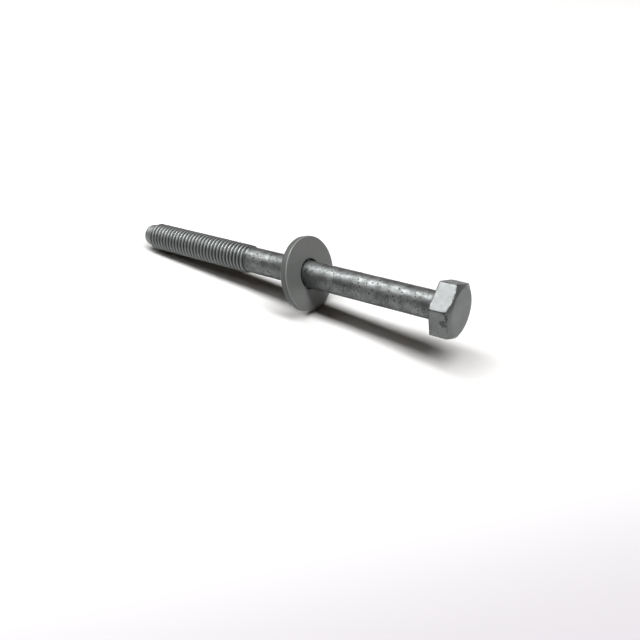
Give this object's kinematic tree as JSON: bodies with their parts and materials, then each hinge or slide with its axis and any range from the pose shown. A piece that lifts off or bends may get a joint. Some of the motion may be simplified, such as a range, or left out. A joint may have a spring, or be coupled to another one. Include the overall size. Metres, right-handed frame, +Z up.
{
  "type": "hex bolt",
  "caption": "Long hex head bolt with a plain shank, a threaded end with a rounded pilot point, and a captive flat washer that slides on the shank.",
  "frame": {"origin": "under the middle of the part, on the plane it lies on", "axes": "+Z up from that plane; +X along the bolt towards its head, with the shank sloping up 5.87 degrees towards +X in the XZ plane; +Y across"},
  "size_m": [0.104, 0.02, 0.0215],
  "materials": {
    "zinc_flake_steel": "matt grey zinc flake over cold forged steel, rolled thread",
    "zinc_flake_washer": "matt grey zinc flake over stamped steel"
  },
  "bodies": {
    "bolt": {"bolt": "zinc_flake_steel"},
    "washer": {"washer": "zinc_flake_washer"}
  },
  "joints": [
    {"name": "washer_slide", "type": "slide", "parent": "bolt", "child": "washer", "axis": [0.9948, 0, 0.1023], "range_m": [-0.0168, 0.0354]}
  ]
}
